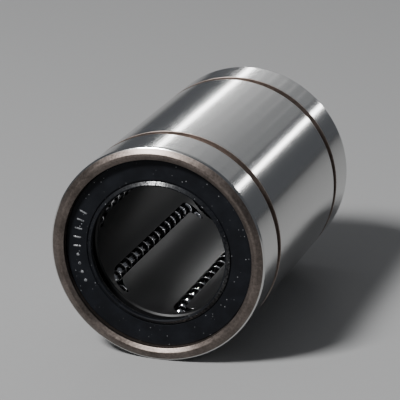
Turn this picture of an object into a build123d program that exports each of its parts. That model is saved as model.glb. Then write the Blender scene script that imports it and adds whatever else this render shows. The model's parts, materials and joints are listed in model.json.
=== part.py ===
from build123d import *
import math
import os

# A closed, sealed linear ball bushing for a 25 mm shaft, in millimetres.
# The bushing's axis lies along Y, with the origin at the middle of the bore, the front end at -Y and +Z up.
# Angles round the axis are counted from +X towards +Z. Sections are (radius, station) points, where a
# station is a place along Y.

# Catalogue sizes
SHAFT_RADIUS = 12.5
OUTER_RADIUS = 20.0
LENGTH = 59.0
SNAP_GROOVE_SPAN = 41.0  # over the outer walls of the two snap-ring grooves
SNAP_GROOVE_WIDTH = 1.85
SNAP_GROOVE_RADIUS = 19.0  # radius of the groove's floor

# Hardened sleeve
EDGE_DEPTH = 0.8  # lead-in chamfer, along the axis
EDGE_HEIGHT = 1.2  # lead-in chamfer, across the wall
SEAL_SEAT_RADIUS = 17.6
SEAT_EDGE_DEPTH = 0.5  # chamfer at the mouth of the seal seat, along the axis
SEAT_EDGE_HEIGHT = 0.8  # the same chamfer, across the wall
RELIEF_RADIUS = 17.0  # the sleeve's inner surface, over the returning balls
RACE_CLEARANCE = 0.02
RACE_HALF_LENGTH = 18.3
RACE_RAMP_END = 24.0
RACE_WIDTH = 18.0  # degrees
RACE_ROOT = 0.2  # how far a race land reaches into the wall it grows from

# Internal retaining rings, one behind each seal
RING_DEPTH = 3.95  # from the end face to the ring
RING_THICKNESS = 1.0
RING_INNER_RADIUS = 15.6
RING_OUTER_RADIUS = 18.2
RING_SLACK = 0.05
RING_GROOVE_RADIUS = 18.3
RING_GAP = 22.0  # degrees open, at the bottom

# Seals
SEAL_RECESS = 1.6  # from the end face to the seal's face
SEAL_THICKNESS = 2.25
SEAL_RADIUS = 17.58
SEAL_EDGE = 0.25
LIP_RADIUS = 12.54
LIP_LAND = 0.5
LIP_ROUND = 0.25  # the lip's rounded lead-in
LIP_RISE = 0.45  # how far the lip's crest stands out of the seal's face
LIP_STEP_RADIUS = 13.6  # fine groove that parts the lip from the seal's face
LIP_STEP_WIDTH = 0.22
LIP_STEP_DEPTH = 0.2
LIP_BACK_RADIUS = 13.35
CORE_INNER_RADIUS = 13.9
CORE_OUTER_RADIUS = 17.1
CORE_THICKNESS = 0.8

# Moulded marks on each seal's face: plain radial ticks, then dots
TICK_COUNT = 5
DOT_COUNT = 4
FIRST_MARK = 156.0  # degrees, on the front seal
MARK_SPREAD = 6.2  # degrees from one mark to the next
TICK_SIZE = (1.5, 0.34)
DOT_RADIUS = 0.3
MARK_RADIUS = 15.4
MARK_HEIGHT = 0.12
MARK_ROOT = 0.1  # how far a mark reaches into the rubber

# Balls and their closed loops
CIRCUITS = 6
FIRST_CIRCUIT = 35.5  # degrees, the loaded row of circuit 1
BALL_RADIUS = 1.5
PITCH = 3.18
ROW_BALLS = 12
TURN_BALLS = 3
RETURN_RADIUS = 15.2  # from the bushing's axis to the centres of the returning balls
LOADED_RADIUS = SHAFT_RADIUS + BALL_RADIUS
ROW_LENGTH = ROW_BALLS * PITCH
TURN_RADIUS = TURN_BALLS * PITCH / math.pi

# Moulded cage
CAGE_RADIUS = 12.95  # its bore
CAGE_WALL_RADIUS = 15.4  # its outside, under the races
CAGE_RIB_RADIUS = 16.9  # its outside, between the races
CAGE_HALF_LENGTH = 24.5
RIB_GAP = 0.6  # degrees between a rib and the race beside it
TRACK_RADIUS = BALL_RADIUS + 0.08
TRACK_DEPTH = 5.0  # out through the cage's wall
CAGE_EDGE = 0.3


def turned(points, arc=360.0):
    """Turn a section about the bushing's axis, centred on angle 0 where the arc isn't a full circle."""
    section = make_face(Polyline(*points, close=True))
    solid = revolve(section, Axis.Y, revolution_arc=arc)
    return at_angle(solid, arc / 2) if arc < 360 else solid


def at_angle(shape, degrees):
    """Move a shape made at angle 0 round the bushing's axis."""
    return Rot(0, -degrees, 0) * shape


def at_rear(shape):
    """Turn a shape made for the front end round to the rear end."""
    return Rot(0, 0, 180) * shape


def both_ends(front):
    """Close a section that is the same at both ends, from the points of its front half."""
    return front + [(radius, -station) for radius, station in reversed(front)]


def from_end(depth):
    """Station of a place that is some depth inside the front end face."""
    return depth - LENGTH / 2


def circuit_angles():
    """Angle of each circuit's loaded row."""
    return [FIRST_CIRCUIT + 360 / CIRCUITS * i for i in range(CIRCUITS)]


def loop_plane():
    """Plane of a ball loop at angle 0: X points from its return row to its loaded row, and Z out."""
    spacing = 2 * TURN_RADIUS
    cosine = (LOADED_RADIUS**2 + RETURN_RADIUS**2 - spacing**2) / (2 * LOADED_RADIUS * RETURN_RADIUS)
    lead = math.acos(cosine)
    loaded = Vector(LOADED_RADIUS, 0, 0)
    returning = Vector(RETURN_RADIUS * math.cos(lead), 0, RETURN_RADIUS * math.sin(lead))
    across = (loaded - returning).normalized()
    return Plane(origin=(loaded + returning) / 2, x_dir=across, z_dir=across.cross(Vector(0, 1, 0)))


def outer_sleeve():
    """Hardened steel wall, with its snap-ring grooves, seal seats, ring grooves and six raised races."""
    ring_front = from_end(RING_DEPTH - RING_SLACK)
    ring_back = from_end(RING_DEPTH + RING_THICKNESS + RING_SLACK)
    groove_outer = -SNAP_GROOVE_SPAN / 2
    groove_inner = groove_outer + SNAP_GROOVE_WIDTH
    wall = turned(both_ends([
        (RELIEF_RADIUS, ring_back),
        (RING_GROOVE_RADIUS, ring_back),
        (RING_GROOVE_RADIUS, ring_front),
        (SEAL_SEAT_RADIUS, ring_front),
        (SEAL_SEAT_RADIUS, from_end(SEAT_EDGE_DEPTH)),
        (SEAL_SEAT_RADIUS + SEAT_EDGE_HEIGHT, from_end(0)),
        (OUTER_RADIUS - EDGE_HEIGHT, from_end(0)),
        (OUTER_RADIUS, from_end(EDGE_DEPTH)),
        (OUTER_RADIUS, groove_outer),
        (SNAP_GROOVE_RADIUS, groove_outer),
        (SNAP_GROOVE_RADIUS, groove_inner),
        (OUTER_RADIUS, groove_inner),
    ]))
    race = turned(both_ends([
        (LOADED_RADIUS + BALL_RADIUS + RACE_CLEARANCE, -RACE_HALF_LENGTH),
        (RELIEF_RADIUS, -RACE_RAMP_END),
        (RELIEF_RADIUS + RACE_ROOT, -RACE_RAMP_END),
    ]), RACE_WIDTH)
    return wall + [at_angle(race, angle) for angle in circuit_angles()]


def retaining_ring():
    """Flat spring ring, open at the bottom, in the groove behind the front seal."""
    front = from_end(RING_DEPTH)
    back = front + RING_THICKNESS
    ring = turned([
        (RING_INNER_RADIUS, front),
        (RING_OUTER_RADIUS, front),
        (RING_OUTER_RADIUS, back),
        (RING_INNER_RADIUS, back),
    ], 360 - RING_GAP)
    return at_angle(ring, 90)


def seal_mark(shape, angle):
    """Place one moulded mark, made lying flat at the origin, on the front seal's face."""
    face = from_end(SEAL_RECESS)
    return at_angle(Pos(MARK_RADIUS, face + MARK_ROOT, 0) * Rot(90, 0, 0) * shape, angle)


def seal_rubber():
    """Rubber of the front seal: a flat face, a rounded wiping lip and a pocket behind for the core."""
    face = from_end(SEAL_RECESS)
    back = face + SEAL_THICKNESS
    pocket = back - CORE_THICKNESS
    crest = face - LIP_RISE
    lip_front = Line((LIP_STEP_RADIUS - LIP_STEP_WIDTH, face), (LIP_RADIUS + LIP_ROUND, crest))
    lip_round = CenterArc((LIP_RADIUS + LIP_ROUND, crest + LIP_ROUND), LIP_ROUND, 270, -90)
    outline = Polyline(
        (LIP_RADIUS, crest + LIP_ROUND),
        (LIP_RADIUS, crest + LIP_ROUND + LIP_LAND),
        (LIP_BACK_RADIUS, back),
        (CORE_INNER_RADIUS, back),
        (CORE_INNER_RADIUS, pocket),
        (CORE_OUTER_RADIUS, pocket),
        (CORE_OUTER_RADIUS, back),
        (SEAL_RADIUS, back),
        (SEAL_RADIUS, face + SEAL_EDGE),
        (SEAL_RADIUS - SEAL_EDGE, face),
        (LIP_STEP_RADIUS, face),
        (LIP_STEP_RADIUS, face + LIP_STEP_DEPTH),
        (LIP_STEP_RADIUS - LIP_STEP_WIDTH, face + LIP_STEP_DEPTH),
        (LIP_STEP_RADIUS - LIP_STEP_WIDTH, face),
    )
    body = revolve(make_face(outline + lip_front + lip_round), Axis.Y)
    height = MARK_HEIGHT + MARK_ROOT
    tick = extrude(Rectangle(*TICK_SIZE), height)
    dot = extrude(Circle(DOT_RADIUS), height)
    shapes = [tick] * TICK_COUNT + [dot] * DOT_COUNT
    marks = [seal_mark(shape, FIRST_MARK + MARK_SPREAD * i) for i, shape in enumerate(shapes)]
    return body + marks


def seal_core():
    """Flat steel washer bonded into the back of the front seal."""
    back = from_end(SEAL_RECESS + SEAL_THICKNESS)
    front = back - CORE_THICKNESS
    return turned([
        (CORE_INNER_RADIUS, front),
        (CORE_OUTER_RADIUS, front),
        (CORE_OUTER_RADIUS, back),
        (CORE_INNER_RADIUS, back),
    ])


def ball_track():
    """Room for one ball loop at angle 0: a closed channel with a round bottom that opens outwards."""
    walls = Polyline(
        (-TRACK_RADIUS, 0),
        (-TRACK_RADIUS, TRACK_DEPTH),
        (TRACK_RADIUS, TRACK_DEPTH),
        (TRACK_RADIUS, 0),
    )
    bottom = ThreePointArc((TRACK_RADIUS, 0), (0, -TRACK_RADIUS), (-TRACK_RADIUS, 0))
    section = Plane.XZ * (Pos(TURN_RADIUS, 0) * make_face(walls + bottom))
    straight = extrude(section, ROW_LENGTH / 2, both=True)
    turn = Pos(0, ROW_LENGTH / 2, 0) * revolve(section, Axis.Z, revolution_arc=180)
    half = [straight, turn]
    return loop_plane().location * (Part() + half + [Rot(0, 0, 180) * piece for piece in half])


def ball_cage():
    """Moulded one-piece cage: a tube with ribs between the races and six closed ball tracks."""
    tube = turned(both_ends([
        (CAGE_RADIUS, -CAGE_HALF_LENGTH + CAGE_EDGE),
        (CAGE_RADIUS + CAGE_EDGE, -CAGE_HALF_LENGTH),
        (CAGE_WALL_RADIUS, -CAGE_HALF_LENGTH),
    ]))
    rib_width = 360 / CIRCUITS - RACE_WIDTH - 2 * RIB_GAP
    rib = turned(both_ends([
        (CAGE_WALL_RADIUS - CAGE_EDGE, -CAGE_HALF_LENGTH),
        (CAGE_RIB_RADIUS - CAGE_EDGE, -CAGE_HALF_LENGTH),
        (CAGE_RIB_RADIUS, -CAGE_HALF_LENGTH + CAGE_EDGE),
    ]), rib_width)
    blank = tube + [at_angle(rib, angle + 180 / CIRCUITS) for angle in circuit_angles()]
    track = ball_track()
    return blank - [at_angle(track, angle) for angle in circuit_angles()]


def row_places(side):
    """Ball centres of one straight row in the loop's plane: side is 1 for loaded, -1 for returning."""
    first = -PITCH * (ROW_BALLS - 1) / 2
    return [(side * TURN_RADIUS, first + PITCH * i) for i in range(ROW_BALLS)]


def turn_places(end):
    """Ball centres round one turn in the loop's plane: end is 1 for the rear, -1 for the front."""
    angles = [math.pi * (i + 0.5) / TURN_BALLS for i in range(TURN_BALLS)]
    return [
        (TURN_RADIUS * math.cos(a), end * (ROW_LENGTH / 2 + TURN_RADIUS * math.sin(a)))
        for a in angles
    ]


def balls(places, angle):
    """Loose steel balls at places in a loop's plane, for the circuit at an angle."""
    plane = loop_plane().location
    ball = Sphere(BALL_RADIUS)
    return Compound(children=[at_angle(plane * Pos(x, y, 0) * ball, angle) for x, y in places])


def circuit_nodes():
    """The four groups of balls of every circuit, by node name."""
    nodes = {}
    for number, angle in enumerate(circuit_angles(), start=1):
        nodes[f"circuit_{number}_loaded_row"] = balls(row_places(1), angle)
        nodes[f"circuit_{number}_return_row"] = balls(row_places(-1), angle)
        nodes[f"circuit_{number}_front_turn"] = balls(turn_places(-1), angle)
        nodes[f"circuit_{number}_rear_turn"] = balls(turn_places(1), angle)
    return nodes


def all_nodes():
    """Every piece of the bushing, by node name."""
    return {
        "outer_sleeve": outer_sleeve(),
        "ball_cage": ball_cage(),
        "front_seal_rubber": seal_rubber(),
        "front_seal_core": seal_core(),
        "front_retaining_ring": retaining_ring(),
        "rear_seal_rubber": at_rear(seal_rubber()),
        "rear_seal_core": at_rear(seal_core()),
        "rear_retaining_ring": at_rear(retaining_ring()),
        **circuit_nodes(),
    }


os.makedirs("parts", exist_ok=True)
for node, shape in all_nodes().items():
    shape.label = node
    export_step(shape, f"parts/{node}.step")
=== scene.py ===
"""Finishes and studio for a sealed linear ball bushing, as an add-on with one operator per piece."""

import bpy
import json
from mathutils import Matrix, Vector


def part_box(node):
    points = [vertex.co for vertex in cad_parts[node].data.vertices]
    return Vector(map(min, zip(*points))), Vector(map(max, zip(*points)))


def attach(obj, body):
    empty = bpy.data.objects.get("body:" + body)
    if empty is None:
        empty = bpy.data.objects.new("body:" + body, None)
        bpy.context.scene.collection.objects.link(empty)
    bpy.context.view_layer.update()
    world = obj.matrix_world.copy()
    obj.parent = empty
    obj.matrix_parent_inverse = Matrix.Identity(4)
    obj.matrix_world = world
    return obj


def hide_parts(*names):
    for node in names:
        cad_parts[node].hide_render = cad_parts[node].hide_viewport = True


bl_info = {
    "name": "Linear Ball Bushing",
    "version": (1, 0, 0),
    "blender": (4, 5, 0),
    "location": "3D View > Sidebar > Bushing",
    "description": "Builds the pieces of a sealed linear ball bushing and a plain studio round them",
    "category": "Add Mesh",
}

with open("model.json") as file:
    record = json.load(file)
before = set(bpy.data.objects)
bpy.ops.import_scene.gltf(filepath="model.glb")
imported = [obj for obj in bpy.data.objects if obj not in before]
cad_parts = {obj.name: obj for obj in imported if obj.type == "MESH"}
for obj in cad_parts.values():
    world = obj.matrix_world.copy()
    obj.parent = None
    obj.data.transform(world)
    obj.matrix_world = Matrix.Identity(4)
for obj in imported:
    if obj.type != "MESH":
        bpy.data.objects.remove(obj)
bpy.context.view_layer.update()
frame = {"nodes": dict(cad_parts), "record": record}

import json
import math

import bmesh
import bpy
from bpy.props import FloatProperty, FloatVectorProperty, PointerProperty
from bpy.types import Operator, Panel, PropertyGroup
from mathutils import Matrix, Vector

MM = 0.001
HOUSING = "housing"
RACES = 6
TICKS = 5
DOTS = 4


# ---- Places and sizes read from the frame ----


def reach(node):
    """Outside radius of a turned node."""
    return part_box(node)[1].x


def mount(name):
    """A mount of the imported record."""
    return next(m for m in frame["record"]["mounts"] if m["name"] == name)


OUTER_RADIUS = reach("outer_sleeve")
HALF_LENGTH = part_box("outer_sleeve")[1].y
RING_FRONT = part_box("front_retaining_ring")[0].y
RING_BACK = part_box("front_retaining_ring")[1].y
RING_RADIUS = reach("front_retaining_ring")
SEAL_RADIUS = reach("front_seal_rubber")
LIP_RADIUS = mount("shaft_bore")["dims"]["r_mm"] * MM
LIP_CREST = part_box("front_seal_rubber")[0].y
SEAL_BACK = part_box("front_seal_rubber")[1].y
CORE_RADIUS = reach("front_seal_core")
CORE_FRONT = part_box("front_seal_core")[0].y


# Lamps in front: name, place, side and brightness
FRONT_LAMPS = (
    ("key", (-0.345, -0.58, 0.74), 0.20, 135.0),
    ("top_soft", (-0.10, 0.10, 0.90), 0.80, 0.35),
)
# Strips on a ring behind: name, angle round the axis, width and brightness
BACK_LAMPS = (
    ("left_strip", 133.2, 0.033, 15.5),
    ("right_strip", 37.6, 0.026, 14.0),
    ("back_1", 56, 0.0915, 0.19),
    ("back_2", 69, 0.0915, 0.23),
    ("back_3", 82, 0.0915, 0.31),
    ("back_4", 95, 0.0915, 0.42),
    ("back_5", 108, 0.0915, 0.57),
    ("back_6", 121, 0.0915, 0.80),
)
BACK_AWAY = 0.85
BACK_RADIUS = 0.42
BACK_LENGTH = 0.28

# Where finishes meet, in millimetres
END_TINT = (28.4, 28.6)  # from the middle: the darker tint of an end begins
END_LIFT = 0.22  # how far below the barrel an end's worn edge still counts as ground
GROOVE_TINT = (0.12, 0.20)  # past a groove's walls: its tint ends
GROUND_EDGE = (0.10, 0.01)  # below the barrel: the tint gives way to ground steel
LIP_GLOSS = 0.22  # outside the lip's wall: its gloss begins
LIP_BLEND = 0.08
LIP_END_BLEND = 0.05
MARK_RISE = (0.005, 0.03)  # above a seal's face: a moulded mark begins
MARK_BAND = (14.2, 14.3)  # radius outside which a raised surface is a mark

# Mesh
SLEEVE_STEPS = 360
SEAL_STEPS = 288
MARK_CORNERS = 24
MARK_LEVELS = 6
MARK_LEAN = math.radians(85)  # how far a mark's side leans in at its top
PROP = 0.02 * MM
MERGED = 1e-7  # points closer than this become one
CREASE = math.radians(40)
FLOOR_HALF = 3.0
SENSOR = 36
NEAREST = 0.01


# ---- Settings ----


def length(name, description, default):
    """A length that a user may change."""
    kind = {"min": 0, "unit": "LENGTH", "precision": 5}
    return FloatProperty(name=name, description=description, default=default, **kind)


def tone(name, description, default):
    """A colour that a user may change."""
    kind = {"subtype": "COLOR", "min": 0, "max": 1}
    return FloatVectorProperty(name=name, description=description, default=default, **kind)


def turn(name, description, degrees):
    """An angle that a user may change."""
    return FloatProperty(name=name, description=description, default=math.radians(degrees), subtype="ANGLE")


class SleeveSettings(PropertyGroup):
    """Sizes and colours of the steel sleeve."""

    chamfer_depth: length("Chamfer depth", "Lead-in chamfer along the axis", 0.8 * MM)
    chamfer_height: length("Chamfer height", "Lead-in chamfer across the wall", 1.2 * MM)
    seat_radius: length("Seat radius", "Radius of the recess that holds a seal", 17.6 * MM)
    mouth_depth: length("Mouth depth", "Chamfer at the mouth of the recess along the axis", 0.5 * MM)
    mouth_height: length("Mouth height", "Chamfer at the mouth of the recess across the wall", 0.8 * MM)
    groove_offset: length("Groove offset", "Middle to a snap-ring groove's outer wall", 20.5 * MM)
    groove_width: length("Groove width", "Width of a snap-ring groove", 1.85 * MM)
    groove_radius: length("Groove radius", "Radius of a groove's floor", 19 * MM)
    relief_radius: length("Relief radius", "Inner surface over the returning balls", 17 * MM)
    race_radius: length("Race radius", "Inner surface under the loaded balls", 15.52 * MM)
    race_half_length: length("Race half length", "Middle to the end of a race", 18.3 * MM)
    race_ramp_end: length("Race ramp end", "Middle to the end of a race's ramp", 24 * MM)
    race_width: turn("Race width", "Width of a race round the axis", 18)
    first_race: turn("First race", "Angle of the first race", 35.5)
    edge: length("Edge", "Radius worn on the edges of the grooves", 0.09 * MM)
    end_edge: length("End edge", "Radius worn on the edges round an end face", 0.4 * MM)
    steel: tone("Ground steel", "Colour of the ground barrel", (0.60, 0.60, 0.59))
    tint: tone("Heat tint", "Brownish tint on chamfers, grooves and end faces", (0.24, 0.20, 0.178))


class SealSettings(PropertyGroup):
    """Sizes and colours of the rubber seals."""

    lip_rise: length("Lip rise", "How far the lip's crest stands out of the seal's face", 0.45 * MM)
    lip_round: length("Lip round", "Rounded lead-in of the wiping lip", 0.25 * MM)
    crest_flat: length("Crest flat", "Width of the lip's crest before it is rounded", 0.03 * MM)
    crest_round: length("Crest round", "Rounding of the lip's crest on its outside", 0.06 * MM)
    lip_land: length("Lip land", "Straight part of the wiping lip", 0.5 * MM)
    lip_back: length("Lip back", "Radius of the lip's back edge", 13.35 * MM)
    step_radius: length("Step radius", "Outside of the fine groove round the lip", 13.6 * MM)
    step_width: length("Step width", "Width of the fine groove round the lip", 0.22 * MM)
    step_depth: length("Step depth", "Depth of the fine groove round the lip", 0.2 * MM)
    core_inner: length("Core inner radius", "Bore of the steel core's pocket", 13.9 * MM)
    edge: length("Edge", "Radius moulded on the seal's outside edge", 0.25 * MM)
    mark_radius: length("Mark radius", "Middle of the moulded marks", 15.4 * MM)
    mark_height: length("Mark height", "How far the marks stand out", 0.12 * MM)
    tick_length: length("Tick length", "Length of a moulded tick", 1.5 * MM)
    tick_width: length("Tick width", "Width of a moulded tick", 0.34 * MM)
    dot_radius: length("Dot radius", "Radius of a moulded dot", 0.3 * MM)
    first_mark: turn("First mark", "Angle of the first tick", 156)
    mark_spread: turn("Mark spread", "Angle from one mark to the next", 6.2)
    rubber: tone("Rubber", "Colour of the seals", (0.0042, 0.0048, 0.0064))
    # This colour also paints the moulded marks lighter, partly as a painted highlight for their glint.
    dust: tone("Dust", "Colour of the specks on the rubber", (0.42, 0.43, 0.45))


class CageSettings(PropertyGroup):
    """Colour of the moulded cage."""

    resin: tone("Resin", "Colour of the cage", (0.003, 0.003, 0.0033))


class SteelPartSettings(PropertyGroup):
    """Colours of the balls and of the small stamped parts."""

    ball: tone("Ball steel", "Colour of the balls", (0.72, 0.72, 0.74))
    stamped: tone("Stamped steel", "Colour of the rings and seal cores", (0.42, 0.40, 0.38))


class StageSettings(PropertyGroup):
    """Camera, floor and the room's own light."""

    azimuth: turn("Azimuth", "Direction of the camera round the bushing", 17.967)
    elevation: turn("Elevation", "Height of the camera above the horizon", 18.145)
    distance: length("Distance", "Camera to the middle of the bushing", 423.96 * MM)
    slide: FloatProperty(
        name="Slide", description="Camera's shift to its right", default=-1.186 * MM, unit="LENGTH"
    )
    rise: FloatProperty(name="Rise", description="Camera's shift upwards", default=1.208 * MM, unit="LENGTH")
    lens: FloatProperty(name="Lens", description="Focal length in millimetres", default=201.8, min=1)
    floor: tone("Floor", "Colour of the floor", (0.32, 0.32, 0.32))
    sky: tone("Room", "Colour of the room's own light", (0.10, 0.105, 0.115))


class BushingSettings(PropertyGroup):
    """Everything that a user may change."""

    sleeve: PointerProperty(type=SleeveSettings)
    seal: PointerProperty(type=SealSettings)
    cage: PointerProperty(type=CageSettings)
    steel: PointerProperty(type=SteelPartSettings)
    stage: PointerProperty(type=StageSettings)


# ---- Shader values as sums ----


class Wire:
    """A number that a shader works out. Sums on it add Math nodes."""

    def __init__(self, finish, socket):
        self.finish = finish
        self.socket = socket

    def maths(self, operation, *values):
        """The result of one Math node on these values."""
        return self.finish.node("ShaderNodeMath", {"operation": operation}, dict(enumerate(values)))

    def __add__(self, other):
        return self.maths("ADD", self, other)

    def __radd__(self, other):
        return self.maths("ADD", other, self)

    def __sub__(self, other):
        return self.maths("SUBTRACT", self, other)

    def __rsub__(self, other):
        return self.maths("SUBTRACT", other, self)

    def __mul__(self, other):
        return self.maths("MULTIPLY", self, other)

    def __rmul__(self, other):
        return self.maths("MULTIPLY", other, self)

    def __pow__(self, other):
        return self.maths("POWER", self, other)

    def __abs__(self):
        return self.maths("ABSOLUTE", self)

    def angle_to(self, other):
        """Angle of the point whose first coordinate is this value and whose second is the other."""
        return self.maths("ARCTAN2", other, self)

    def over(self, low, high):
        """0 below low and 1 above high, with a smooth step between."""
        settings = {"interpolation_type": "SMOOTHSTEP"}
        sockets = {"Value": self, "From Min": low, "From Max": high}
        return self.finish.node("ShaderNodeMapRange", settings, sockets)


class Finish:
    """One material, with a Principled shader that its method adds nodes to."""

    def __init__(self, name, **constants):
        self.material = bpy.data.materials.new(name)
        self.material.use_nodes = True
        self.tree = self.material.node_tree
        self.tree.nodes.clear()
        output = self.tree.nodes.new("ShaderNodeOutputMaterial")
        self.shader = self.tree.nodes.new("ShaderNodeBsdfPrincipled")
        self.tree.links.new(self.shader.outputs[0], output.inputs["Surface"])
        for socket, value in constants.items():
            self.set(socket.replace("_", " "), value)

    def feed(self, socket, value):
        """Link or set one input."""
        if isinstance(value, Wire):
            self.tree.links.new(value.socket, socket)
        elif isinstance(socket.default_value, float):
            socket.default_value = value
        elif isinstance(value, (int, float)):
            socket.default_value = (value,) * len(socket.default_value)
        else:
            opaque = tuple(value) + (1.0,) * (len(socket.default_value) - len(value))
            socket.default_value = opaque

    def set(self, name, value):
        """Link or set one of the Principled shader's inputs."""
        self.feed(self.shader.inputs[name], value)

    def node(self, kind, settings=None, sockets=None, output=0):
        """Any node: its settings are set first, then its sockets' values or links."""
        node = self.tree.nodes.new(kind)
        for name, value in (settings or {}).items():
            setattr(node, name, value)
        for key, value in (sockets or {}).items():
            self.feed(node.inputs[key], value)
        return Wire(self, node.outputs[output])

    def mix(self, first, second, factor):
        """A colour between two colours."""
        return self.node("ShaderNodeMix", {"data_type": "RGBA"}, {0: factor, 6: first, 7: second}, 2)

    def vary(self, colour, factor, dark, light):
        """A colour between a darker and a lighter version of itself."""
        return self.mix([c * dark for c in colour], [min(c * light, 1.0) for c in colour], factor)

    def point(self):
        """The surface point in the bushing's frame, in millimetres."""
        point = self.node("ShaderNodeTexCoord", output="Object")
        return self.node("ShaderNodeVectorMath", {"operation": "SCALE"}, {0: point, "Scale": 1 / MM})

    def split(self, vector):
        """A vector's three coordinates."""
        first = self.node("ShaderNodeSeparateXYZ", None, {0: vector})
        return [Wire(self, socket) for socket in first.socket.node.outputs]

    def vector(self, x, y, z):
        """Three values as one vector."""
        return self.node("ShaderNodeCombineXYZ", None, {0: x, 1: y, 2: z})

    def noise(self, vector, scale=1.0, detail=2.0, roughness=0.5):
        """Noise from 0 to 1."""
        sockets = {"Vector": vector, "Scale": scale, "Detail": detail, "Roughness": roughness}
        return self.node("ShaderNodeTexNoise", None, sockets)

    def bump(self, height, depth):
        """Let a height from 0 to 1, of some depth in millimetres, tilt the surface."""
        sockets = {"Height": height, "Distance": depth * MM, "Strength": 1.0}
        self.set("Normal", self.node("ShaderNodeBump", None, sockets))


def from_axis(x, z):
    """Distance from the bushing's axis."""
    return (x * x + z * z) ** 0.5


# ---- Materials ----


def sleeve_steel(settings):
    """Ground steel on the barrel, with a brownish heat tint and turning marks everywhere else."""
    finish = Finish("sleeve_steel", Metallic=1.0)
    point = finish.point()
    x, y, z = finish.split(point)
    radius = from_axis(x, z)
    angle = x.angle_to(z)
    outer = OUTER_RADIUS / MM
    station = abs(y)
    end = station.over(*END_TINT)
    groove_outer = settings.groove_offset / MM
    groove_inner = (settings.groove_offset - settings.groove_width) / MM
    near, far = GROOVE_TINT
    groove = station.over(groove_inner - far, groove_inner - near)
    groove = groove * (1 - station.over(groove_outer + near, groove_outer + far))
    below, level = GROUND_EDGE
    ground = (radius + end * END_LIFT).over(outer - below, outer - level) * (1 - groove)
    grain = finish.noise(finish.vector(angle * 1.5, y * 9.0, radius * 9.0), detail=4.0, roughness=0.65)
    streaks = finish.noise(finish.vector(angle * 5.0, y * 1.1, 0.0), detail=3.0)
    cloud = finish.noise(point, scale=0.22, detail=3.0)
    mottle = finish.noise(point, scale=2.4, detail=4.0, roughness=0.7)
    steel = finish.vary(settings.steel, streaks, dark=0.95, light=1.04)
    patch = (mottle * 0.7 + cloud * 0.6 - 0.15).over(0.25, 0.85)
    grooves = finish.vary(settings.tint, patch, dark=0.9, light=2.0)
    ends = finish.vary(settings.tint, patch, dark=0.36, light=1.05)
    tinted = finish.mix(grooves, ends, end)
    finish.set("Base Color", finish.mix(tinted, steel, ground))
    scratches = finish.noise(finish.vector(angle * 40.0, y * 2.2, 0.0)).over(0.66, 0.74)
    smooth = 0.09 + grain * 0.06 + scratches * 0.10 + cloud * 0.03
    rough = 0.30 + mottle * 0.18
    finish.set("Roughness", rough + (smooth - rough) * ground)
    finish.bump(grain * (1 - ground * 0.75) + mottle * (1 - ground) * 0.6, depth=0.008)
    return finish.material


def seal_rubber(settings):
    """Near-black rubber with a faint bloom, a fine texture, a glossy lip and marks, specks of dust, and marks
    painted lighter in patches: partly pale wear, partly a painted highlight for their glint.
    """
    finish = Finish("seal_rubber", Specular_IOR_Level=0.12, Coat_Roughness=0.22, Coat_IOR=1.7)
    point = finish.point()
    x, y, z = finish.split(point)
    radius = from_axis(x, z)
    bloom = finish.noise(point, scale=0.35, detail=4.0, roughness=0.6)
    fine = finish.noise(point, scale=9.0, detail=3.0, roughness=0.6)
    face = -(LIP_CREST + settings.lip_rise) / MM
    lip_edge = (settings.step_radius - settings.step_width) / MM
    crest = LIP_RADIUS / MM + LIP_GLOSS
    lip = radius.over(crest, crest + LIP_BLEND) * (1 - radius.over(lip_edge - LIP_END_BLEND, lip_edge))
    low, high = MARK_RISE
    mark = abs(y).over(face + low, face + high) * radius.over(*MARK_BAND)
    wear_and_glint = finish.noise(finish.vector(x * 2.5, 0.0, z * 2.5), detail=4.0, roughness=0.7)
    gloss = mark + lip
    cells = {"Vector": point, "Scale": 1.35, "Randomness": 1.0}
    speck = finish.node("ShaderNodeTexVoronoi", {"feature": "F1"}, cells, "Distance")
    chance = finish.noise(point, scale=1.1)
    dust = (1 - speck.over(0.05, 0.14)) * chance.over(0.50, 0.58)
    clean = finish.vary(settings.rubber, bloom.over(0.35, 0.75), dark=1.0, light=1.7)
    # Marks painted lighter with the dust colour in patches: partly pale wear, partly a painted highlight
    # standing in for their glint.
    clean = finish.mix(clean, settings.dust, mark * wear_and_glint.over(0.35, 0.60) * 0.45)
    finish.set("Base Color", finish.mix(clean, settings.dust, dust * 0.8))
    finish.set("Roughness", 0.46 + bloom * 0.14 + dust * 0.3)
    finish.set("Coat Weight", gloss * wear_and_glint.over(0.36, 0.62) * (1 - dust))
    finish.bump(fine * 0.6 + wear_and_glint * lip * 0.8 + dust * 0.8, depth=0.010)
    return finish.material


def cage_resin(settings):
    """Satin black moulded resin with soft flow marks."""
    finish = Finish("cage_resin", Specular_IOR_Level=0.38)
    point = finish.point()
    x, y, z = finish.split(point)
    flow = finish.noise(finish.vector(x * 0.5, y * 0.12, z * 0.5), detail=3.0)
    fine = finish.noise(point, scale=2.2)
    finish.set("Base Color", finish.vary(settings.resin, flow.over(0.3, 0.8), dark=1.0, light=2.0))
    finish.set("Roughness", 0.36 + flow * 0.06 + fine * 0.03)
    finish.bump(flow + fine * 0.05, depth=0.008)
    return finish.material


def ball_steel(settings):
    """Polished ball steel under a thin film of oil."""
    finish = Finish("ball_steel", Metallic=1.0)
    point = finish.point()
    film = finish.noise(point, scale=0.8, detail=3.0)
    pits = finish.noise(point, scale=7.0)
    finish.set("Base Color", finish.vary(settings.ball, film.over(0.3, 0.7), dark=0.75, light=1.0))
    finish.set("Roughness", 0.05 + film * 0.05 + pits.over(0.62, 0.7) * 0.12)
    finish.bump(pits, depth=0.001)
    return finish.material


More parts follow.
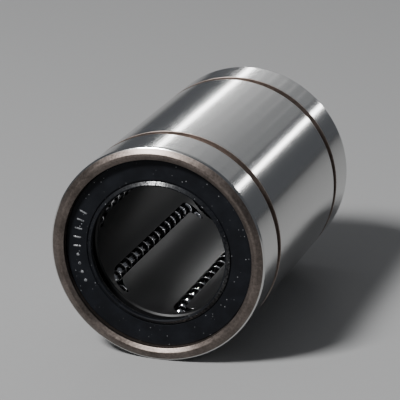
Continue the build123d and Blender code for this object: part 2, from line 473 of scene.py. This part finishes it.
def stamped_steel(settings):
    """Dull stamped steel with a rolled grain."""
    finish = Finish("stamped_steel", Metallic=1.0)
    point = finish.point()
    x, y, z = finish.split(point)
    rolled = finish.noise(finish.vector(x * 1.2, y * 1.2, z * 9.0), detail=3.0)
    stain = finish.noise(point, scale=0.5, detail=3.0)
    finish.set("Base Color", finish.vary(settings.stamped, stain.over(0.3, 0.7), dark=0.6, light=1.0))
    finish.set("Roughness", 0.30 + rolled * 0.18)
    finish.bump(rolled, depth=0.006)
    return finish.material


def studio_floor(settings):
    """Plain pale floor."""
    finish = Finish("studio_floor", Roughness=0.9, Specular_IOR_Level=0.2)
    point = finish.point()
    tooth = finish.noise(point, scale=0.6, detail=4.0)
    finish.set("Base Color", finish.vary(settings.floor, tooth, dark=0.97, light=1.0))
    return finish.material


# ---- Mesh ----


def rounded(corners, steps=4):
    """Points of a closed outline whose (radius, station, worn) corners are worn to arcs."""
    outline = []
    for i, (radius, station, worn) in enumerate(corners):
        corner = Vector((radius, station))
        before = Vector(corners[i - 1][:2]) - corner
        after = Vector(corners[(i + 1) % len(corners)][:2]) - corner
        if worn <= 0:
            outline.append(corner)
            continue
        half = before.angle(after) / 2
        cut = worn / math.tan(half)
        centre = corner + (before.normalized() + after.normalized()).normalized() * (worn / math.sin(half))
        start = (corner + before.normalized() * cut - centre).normalized()
        end = (corner + after.normalized() * cut - centre).normalized()
        outline += [centre + start.slerp(end, k / steps) * worn for k in range(steps + 1)]
    return propped(outline)


def propped(outline):
    """Add a point close to each end of every long side, so that flats shade flat."""
    points = []
    for start, end in zip(outline, outline[1:] + outline[:1]):
        points.append(start)
        side = end - start
        if side.length > 6 * PROP:
            step = side.normalized() * PROP
            points += [start + step, end - step]
    return points


def turned(mesh, section, angles):
    """Add a closed solid of revolution about the bushing's axis, whose section may change with the angle."""
    rings = []
    for angle in angles:
        across = Vector((math.cos(angle), 0, math.sin(angle)))
        rings.append([mesh.verts.new(across * p.x + Vector((0, p.y, 0))) for p in section(angle)])
    for ring, following in zip(rings, rings[1:] + rings[:1]):
        for i in range(len(ring)):
            j = (i + 1) % len(ring)
            mesh.faces.new((ring[i], ring[j], following[j], following[i]))


def moulded_mark(mesh, angle, radius, station, length, width, height):
    """Add a rounded bar that lies along a radius of the front seal's face. A bar as long as wide is a dot."""
    out = Vector((math.cos(angle), 0, math.sin(angle)))
    side = Vector((-math.sin(angle), 0, math.cos(angle)))
    straight = (length - width) / 2
    root = height / 2
    rings = []
    for level in range(MARK_LEVELS + 1):
        lean = 0 if level == 0 else MARK_LEAN * (level - 1) / (MARK_LEVELS - 1)
        rise = -root if level == 0 else height * math.sin(lean)
        ring = []
        for k in range(MARK_CORNERS):
            a = math.tau * (k + 0.5) / MARK_CORNERS
            along = math.copysign(straight, math.cos(a)) + width / 2 * math.cos(lean) * math.cos(a)
            across = width / 2 * math.cos(lean) * math.sin(a)
            point = out * (radius + along) + side * across + Vector((0, station - rise, 0))
            ring.append(mesh.verts.new(point))
        rings.append(ring)
    for ring, following in zip(rings, rings[1:]):
        for i in range(MARK_CORNERS):
            j = (i + 1) % MARK_CORNERS
            mesh.faces.new((ring[i], ring[j], following[j], following[i]))
    mesh.faces.new(rings[0][::-1])
    mesh.faces.new(rings[-1])


def finished(name, mesh, material):
    """Turn a bmesh into a smooth-shaded object with sharp edges kept."""
    bmesh.ops.remove_doubles(mesh, verts=mesh.verts, dist=MERGED)
    bmesh.ops.dissolve_degenerate(mesh, edges=mesh.edges, dist=MERGED)
    bmesh.ops.recalc_face_normals(mesh, faces=mesh.faces)
    data = bpy.data.meshes.new(name)
    mesh.to_mesh(data)
    mesh.free()
    data.materials.append(material)
    data.shade_smooth()
    data.set_sharp_from_angle(angle=CREASE)
    piece = bpy.data.objects.new(name, data)
    bpy.context.scene.collection.objects.link(piece)
    return piece


def full_turn(count):
    """Evenly spaced angles round a circle."""
    return [math.tau * i / count for i in range(count)]


def mirrored(front):
    """A section that is the same at both ends, from the corners of its front half."""
    return front + [(radius, -station, worn) for radius, station, worn in reversed(front)]


def stands_for(piece, node):
    """Let a finished piece ride the housing in place of a CAD node."""
    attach(piece, HOUSING)
    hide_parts(node)


def dress(node, material):
    """Give a CAD node a finished material."""
    for slot in frame["nodes"][node].material_slots:
        slot.material = material


# ---- Operators ----


class BUSHING_OT_sleeve(Operator):
    """Build the ground steel sleeve with worn edges, grooves, seal recesses and six races"""

    bl_idname = "bushing.sleeve"
    bl_label = "Outer sleeve"

    def execute(self, context):
        s = context.scene.bushing.sleeve
        front = -HALF_LENGTH
        groove = -s.groove_offset
        slack = 0.05 * MM
        ring_groove = RING_RADIUS + 2 * slack

        def section(inner):
            return rounded(mirrored([
                (inner, -s.race_half_length, 0),
                (s.relief_radius, -s.race_ramp_end, 0),
                (s.relief_radius, RING_BACK + slack, 0),
                (ring_groove, RING_BACK + slack, 0),
                (ring_groove, RING_FRONT - slack, 0),
                (s.seat_radius, RING_FRONT - slack, 0),
                (s.seat_radius, front + s.mouth_depth, s.end_edge / 2),
                (s.seat_radius + s.mouth_height, front, s.end_edge),
                (OUTER_RADIUS - s.chamfer_height, front, s.end_edge),
                (OUTER_RADIUS, front + s.chamfer_depth, s.end_edge),
                (OUTER_RADIUS, groove, s.edge),
                (s.groove_radius, groove, s.edge),
                (s.groove_radius, groove + s.groove_width, s.edge),
                (OUTER_RADIUS, groove + s.groove_width, s.edge),
            ]))

        plain, raised = section(s.relief_radius), section(s.race_radius)
        races = [s.first_race + math.tau * i / RACES for i in range(RACES)]
        half = s.race_width / 2
        sliver = 1e-5
        angles = full_turn(SLEEVE_STEPS)
        for race in races:
            for side in (-half, half):
                angles += [race + side - sliver, race + side + sliver]

        def at(angle):
            near = min(abs(math.remainder(angle - race, math.tau)) for race in races)
            return raised if near < half else plain

        mesh = bmesh.new()
        turned(mesh, at, sorted(angle % math.tau for angle in angles))
        stands_for(finished("outer_sleeve_ground", mesh, sleeve_steel(s)), "outer_sleeve")
        return {"FINISHED"}


class BUSHING_OT_seals(Operator):
    """Build the two rubber seals with rounded wiping lips and moulded marks"""

    bl_idname = "bushing.seals"
    bl_label = "Seals"

    def execute(self, context):
        s = context.scene.bushing.seal
        material = seal_rubber(s)
        face = LIP_CREST + s.lip_rise
        inner_step = s.step_radius - s.step_width
        soft = s.edge / 5
        section = rounded([
            (LIP_RADIUS, LIP_CREST, s.lip_round),
            (LIP_RADIUS + s.lip_round + s.crest_flat, LIP_CREST, s.crest_round),
            (inner_step, face, soft),
            (inner_step, face + s.step_depth, 0),
            (s.step_radius, face + s.step_depth, 0),
            (s.step_radius, face, soft),
            (SEAL_RADIUS, face, s.edge),
            (SEAL_RADIUS, SEAL_BACK, 0),
            (CORE_RADIUS, SEAL_BACK, 0),
            (CORE_RADIUS, CORE_FRONT, 0),
            (s.core_inner, CORE_FRONT, 0),
            (s.core_inner, SEAL_BACK, 0),
            (s.lip_back, SEAL_BACK, s.edge / 2),
            (LIP_RADIUS, LIP_CREST + s.lip_round + s.lip_land, s.edge / 2),
        ], steps=6)
        sizes = [(s.tick_length, s.tick_width)] * TICKS + [(2 * s.dot_radius, 2 * s.dot_radius)] * DOTS
        for end, half_turns in (("front", 0), ("rear", 1)):
            mesh = bmesh.new()
            turned(mesh, lambda angle: section, full_turn(SEAL_STEPS))
            for i, (long, wide) in enumerate(sizes):
                angle = s.first_mark + s.mark_spread * i
                moulded_mark(mesh, angle, s.mark_radius, face, long, wide, s.mark_height)
            mesh.transform(Matrix.Rotation(math.pi * half_turns, 4, "Z"))
            piece = finished(f"{end}_seal_moulded", mesh, material)
            stands_for(piece, f"{end}_seal_rubber")
        return {"FINISHED"}


class BUSHING_OT_cage(Operator):
    """Finish the moulded cage"""

    bl_idname = "bushing.cage"
    bl_label = "Ball cage"

    def execute(self, context):
        dress("ball_cage", cage_resin(context.scene.bushing.cage))
        return {"FINISHED"}


class BUSHING_OT_balls(Operator):
    """Finish every group of balls"""

    bl_idname = "bushing.balls"
    bl_label = "Balls"

    def execute(self, context):
        material = ball_steel(context.scene.bushing.steel)
        for node in frame["nodes"]:
            if node.startswith("circuit_"):
                dress(node, material)
        return {"FINISHED"}


class BUSHING_OT_inner_steel(Operator):
    """Finish the retaining rings and the seals' steel cores"""

    bl_idname = "bushing.inner_steel"
    bl_label = "Rings and cores"

    def execute(self, context):
        material = stamped_steel(context.scene.bushing.steel)
        for end in ("front", "rear"):
            dress(f"{end}_seal_core", material)
            dress(f"{end}_retaining_ring", material)
        return {"FINISHED"}


class BUSHING_OT_stage(Operator):
    """Set up the floor, the lights and the camera"""

    bl_idname = "bushing.stage"
    bl_label = "Studio"

    def execute(self, context):
        s = context.scene.bushing.stage
        self.add_floor(s)
        self.add_camera(s)
        self.add_lights()
        world = bpy.data.worlds.new("room")
        world.use_nodes = True
        world.node_tree.nodes["Background"].inputs["Color"].default_value = (*s.sky, 1)
        context.scene.world = world
        return {"FINISHED"}

    def add_floor(self, s):
        size = FLOOR_HALF
        level = -OUTER_RADIUS
        mesh = bmesh.new()
        corners = [(-size, -size), (size, -size), (size, size), (-size, size)]
        mesh.faces.new([mesh.verts.new((x, y, level)) for x, y in corners])
        floor = finished("floor", mesh, studio_floor(s))

    def add_camera(self, s):
        back = Vector((
            math.sin(s.azimuth) * math.cos(s.elevation),
            -math.cos(s.azimuth) * math.cos(s.elevation),
            math.sin(s.elevation),
        ))
        right = (-back).cross(Vector((0, 0, 1))).normalized()
        camera = bpy.data.objects.new("camera", bpy.data.cameras.new("camera"))
        camera.location = back * s.distance + right * s.slide + right.cross(-back) * s.rise
        camera.rotation_mode = "QUATERNION"
        camera.rotation_quaternion = (-back).to_track_quat("-Z", "Y")
        camera.data.lens = s.lens
        camera.data.sensor_width = SENSOR
        camera.data.clip_start = NEAREST
        bpy.context.scene.collection.objects.link(camera)
        bpy.context.scene.camera = camera

    def add_lights(self):
        """Soft lamps in front and above, and a ring of strips behind that the barrel mirrors as lines."""
        for name, place, side, glow in FRONT_LAMPS:
            place = Vector(place)
            self.add_panel(name, place, (side, side), glow, (-place).to_track_quat("-Z", "Y"))
        for name, degrees, wide, glow in BACK_LAMPS:
            a = math.radians(degrees)
            out = Vector((math.cos(a), 0, math.sin(a)))
            place = out * BACK_RADIUS + Vector((0, BACK_AWAY, 0))
            z = place.normalized()
            x = out.cross(z).normalized()
            facing = Matrix((x, z.cross(x), z)).transposed().to_quaternion()
            self.add_panel(name, place, (wide, BACK_LENGTH), glow, facing)

    def add_panel(self, name, place, size, glow, facing):
        """A panel of some brightness, hidden from the camera."""
        light = bpy.data.lights.new(name, "AREA")
        light.shape = "RECTANGLE"
        light.size, light.size_y = size
        light.energy = glow * math.pi * size[0] * size[1]
        lamp = bpy.data.objects.new(name, light)
        lamp.location = place
        lamp.rotation_mode = "QUATERNION"
        lamp.rotation_quaternion = facing
        lamp.visible_camera = False
        bpy.context.scene.collection.objects.link(lamp)


class BUSHING_PT_pieces(Panel):
    """Lists the operators, one for each piece or group and one for the studio"""

    bl_idname = "BUSHING_PT_pieces"
    bl_label = "Linear ball bushing"
    bl_space_type = "VIEW_3D"
    bl_region_type = "UI"
    bl_category = "Bushing"

    def draw(self, context):
        for operator in OPERATORS:
            self.layout.operator(operator.bl_idname)


OPERATORS = (
    BUSHING_OT_sleeve,
    BUSHING_OT_seals,
    BUSHING_OT_cage,
    BUSHING_OT_balls,
    BUSHING_OT_inner_steel,
    BUSHING_OT_stage,
)
CLASSES = (
    SleeveSettings,
    SealSettings,
    CageSettings,
    SteelPartSettings,
    StageSettings,
    BushingSettings,
    *OPERATORS,
    BUSHING_PT_pieces,
)


def register():
    """Add the classes and the settings."""
    for each in CLASSES:
        bpy.utils.register_class(each)
    bpy.types.Scene.bushing = PointerProperty(type=BushingSettings)


def unregister():
    """Take the classes and the settings away."""
    del bpy.types.Scene.bushing
    for each in reversed(CLASSES):
        bpy.utils.unregister_class(each)


def main():
    """Build every piece and the stage."""
    register()
    for operator in OPERATORS:
        family, _, step = operator.bl_idname.partition(".")
        getattr(getattr(bpy.ops, family), step)()


if __name__ == "__main__":
    main()
